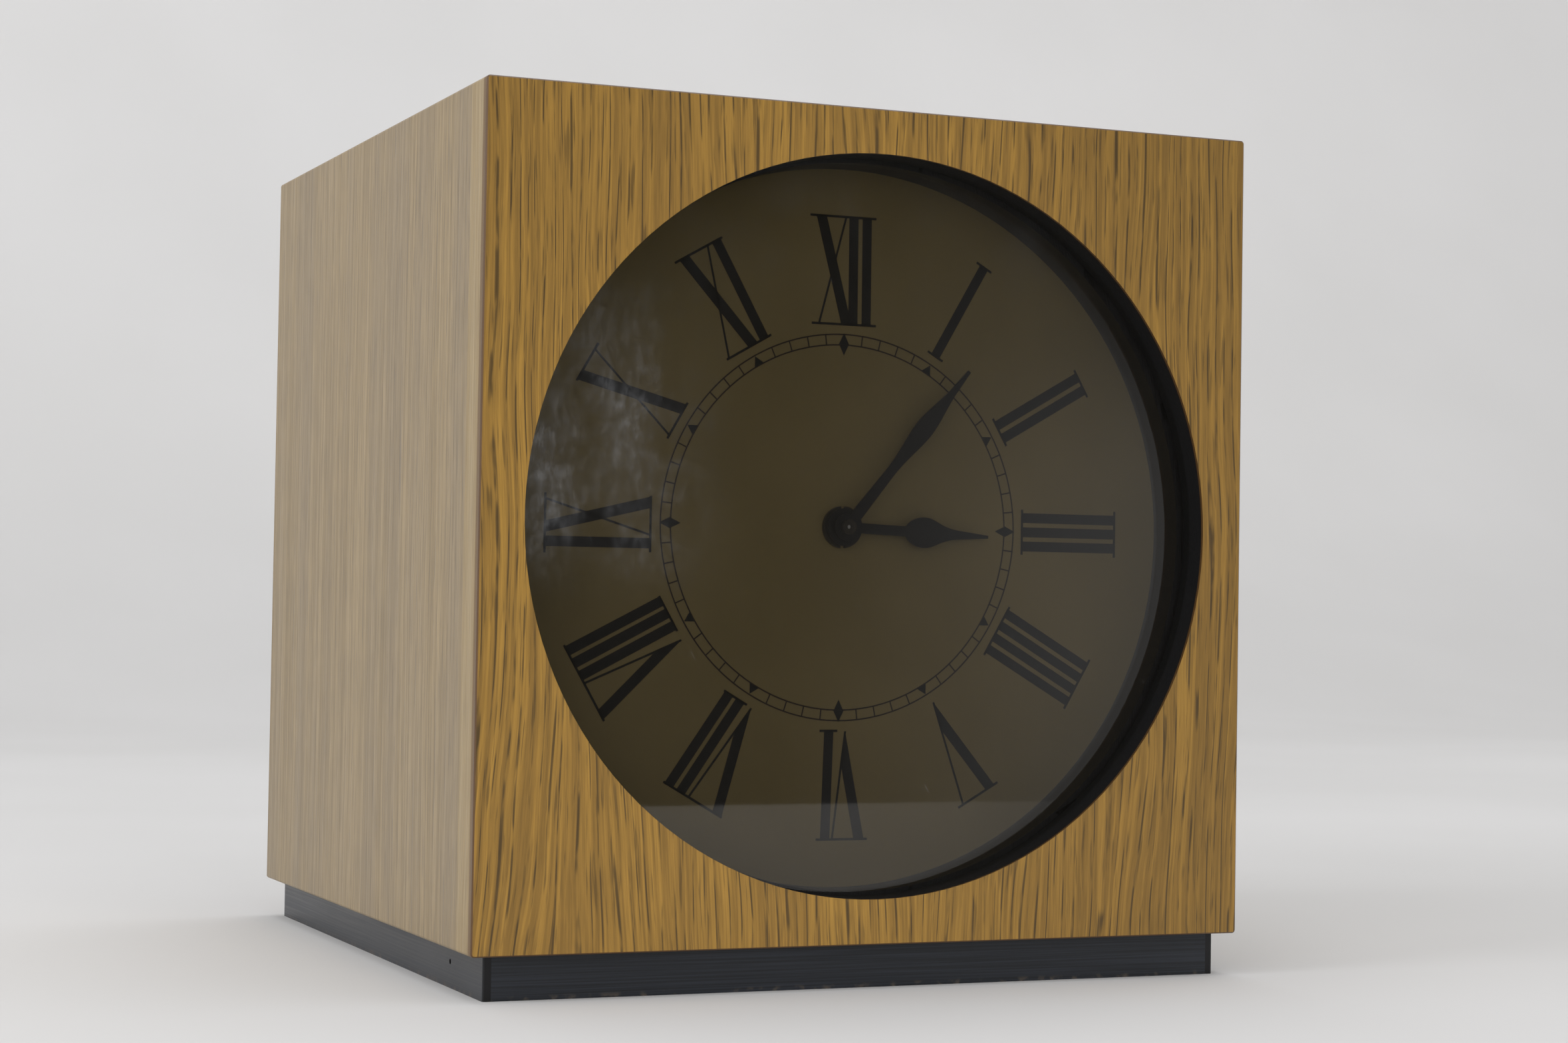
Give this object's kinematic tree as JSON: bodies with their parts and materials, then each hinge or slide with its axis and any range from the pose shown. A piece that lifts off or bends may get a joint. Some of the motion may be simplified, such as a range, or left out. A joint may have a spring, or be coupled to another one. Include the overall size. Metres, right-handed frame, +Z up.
{
  "type": "cube clock",
  "caption": "Wooden cube clock on a low black plinth, with a smoked lens set back in a round opening, a printed metal dial and a battery movement.",
  "frame": {"origin": "middle of the plinth's underside, which is the middle of the case's footprint", "axes": "+Z up, +X right, -Y out of the dial"},
  "size_m": [0.19, 0.19, 0.2],
  "materials": {
    "oak_veneer": "open-pored satin lacquer over board",
    "oak_edge_band": "satin",
    "case_board": "veneered board, satin lacquer outside",
    "black_plinth": "black satin lacquer",
    "plain_timber": "sawn",
    "hardboard": "smooth one side",
    "smoked_lens": "gloss, smoked",
    "ring_black": "matt black",
    "dial_gold": "satin gold, printed",
    "hand_black": "satin black",
    "brass": "satin",
    "zinc_steel": "zinc plated",
    "motor_iron": "bare sheet",
    "magnet": "matt",
    "copper_wire": "enamelled",
    "housing_plastic": "matt",
    "gear_plastic": "satin",
    "board_green": "solder mask",
    "chip_black": "cured resin",
    "battery_shell": "gloss",
    "rubber": "matt"
  },
  "bodies": {
    "case": {"front_panel_core": "case_board", "front_veneer": "oak_veneer", "edge_band_left": "oak_edge_band", "edge_band_right": "oak_edge_band", "edge_band_top": "oak_edge_band", "edge_band_bottom": "oak_edge_band", "case_left_board": "case_board", "case_right_board": "case_board", "case_top_board": "case_board", "case_bottom_board": "case_board", "plinth_core": "black_plinth", "plinth_facing_left": "black_plinth", "plinth_facing_right": "black_plinth", "plinth_facing_front": "black_plinth", "plinth_facing_back": "black_plinth", "plinth_screws": "zinc_steel", "lens": "smoked_lens", "spacer_ring": "ring_black", "dial_plate": "dial_gold", "backing_board": "hardboard", "front_corner_blocks": "plain_timber", "rear_corner_blocks": "plain_timber", "back_panel": "hardboard", "backing_board_screws": "zinc_steel", "back_panel_screws": "zinc_steel", "centre_bush": "brass", "rubber_washer": "rubber", "fixing_nut": "brass", "stator": "motor_iron", "coil_core": "motor_iron", "coil_bobbin": "gear_plastic", "coil_winding": "copper_wire", "circuit_board": "board_green", "quartz_crystal": "zinc_steel", "timer_chip": "chip_black", "battery": "battery_shell", "negative_contact": "zinc_steel", "positive_contact": "zinc_steel", "movement_tray": "housing_plastic", "movement_cover": "housing_plastic"},
    "hour_motion": {"hour_wheel": "gear_plastic", "hour_hand": "hand_black"},
    "minute_motion": {"minute_arbor": "brass", "clutch_washer": "zinc_steel", "minute_hand": "hand_black", "hand_nut": "brass"},
    "minute_wheel_body": {"minute_wheel": "gear_plastic"},
    "setting_motion": {"setting_wheel": "gear_plastic", "setting_knob": "housing_plastic"},
    "centre_wheel_body": {"centre_wheel": "gear_plastic"},
    "third_wheel_body": {"third_wheel": "gear_plastic"},
    "seconds_wheel_body": {"seconds_wheel": "gear_plastic"},
    "intermediate_wheel_body": {"intermediate_wheel": "gear_plastic"},
    "rotor": {"rotor_pinion": "gear_plastic", "rotor_magnet": "magnet"}
  },
  "joints": [
    {"name": "minute_hand_turn", "type": "hinge", "parent": "case", "child": "minute_motion", "pos_m": [0, -0.0671, 0.105], "axis": [0, 1, 0], "continuous": true},
    {"name": "hour_hand_turn", "type": "hinge", "parent": "case", "child": "hour_motion", "pos_m": [0, -0.0671, 0.105], "axis": [0, 1, 0], "continuous": true},
    {"name": "minute_wheel_turn", "type": "hinge", "parent": "case", "child": "minute_wheel_body", "pos_m": [0, -0.0671, 0.1122], "axis": [0, 1, 0], "continuous": true},
    {"name": "setting_knob_turn", "type": "hinge", "parent": "case", "child": "setting_motion", "pos_m": [0, -0.0671, 0.1203], "axis": [0, 1, 0], "continuous": true},
    {"name": "seconds_wheel_turn", "type": "hinge", "parent": "case", "child": "seconds_wheel_body", "pos_m": [0, -0.0671, 0.105], "axis": [0, 1, 0], "continuous": true},
    {"name": "third_wheel_turn", "type": "hinge", "parent": "case", "child": "third_wheel_body", "pos_m": [-0.00736, -0.0671, 0.10925], "axis": [0, 1, 0], "continuous": true},
    {"name": "centre_wheel_turn", "type": "hinge", "parent": "case", "child": "centre_wheel_body", "pos_m": [0, -0.0671, 0.105], "axis": [0, 1, 0], "continuous": true},
    {"name": "intermediate_wheel_turn", "type": "hinge", "parent": "case", "child": "intermediate_wheel_body", "pos_m": [0.0067, -0.0671, 0.11062], "axis": [0, 1, 0], "continuous": true},
    {"name": "rotor_turn", "type": "hinge", "parent": "case", "child": "rotor", "pos_m": [0.0139, -0.0671, 0.11062], "axis": [0, 1, 0], "continuous": true}
  ],
  "couplings": [
    {"joint": "hour_hand_turn", "follows": "minute_hand_turn", "ratio": 0.083333},
    {"joint": "minute_wheel_turn", "follows": "minute_hand_turn", "ratio": -0.33333},
    {"joint": "setting_knob_turn", "follows": "minute_hand_turn", "ratio": 0.66667},
    {"joint": "intermediate_wheel_turn", "follows": "seconds_wheel_turn", "ratio": -6},
    {"joint": "rotor_turn", "follows": "seconds_wheel_turn", "ratio": 30},
    {"joint": "third_wheel_turn", "follows": "seconds_wheel_turn", "ratio": -0.13333},
    {"joint": "centre_wheel_turn", "follows": "seconds_wheel_turn", "ratio": 0.016667}
  ]
}
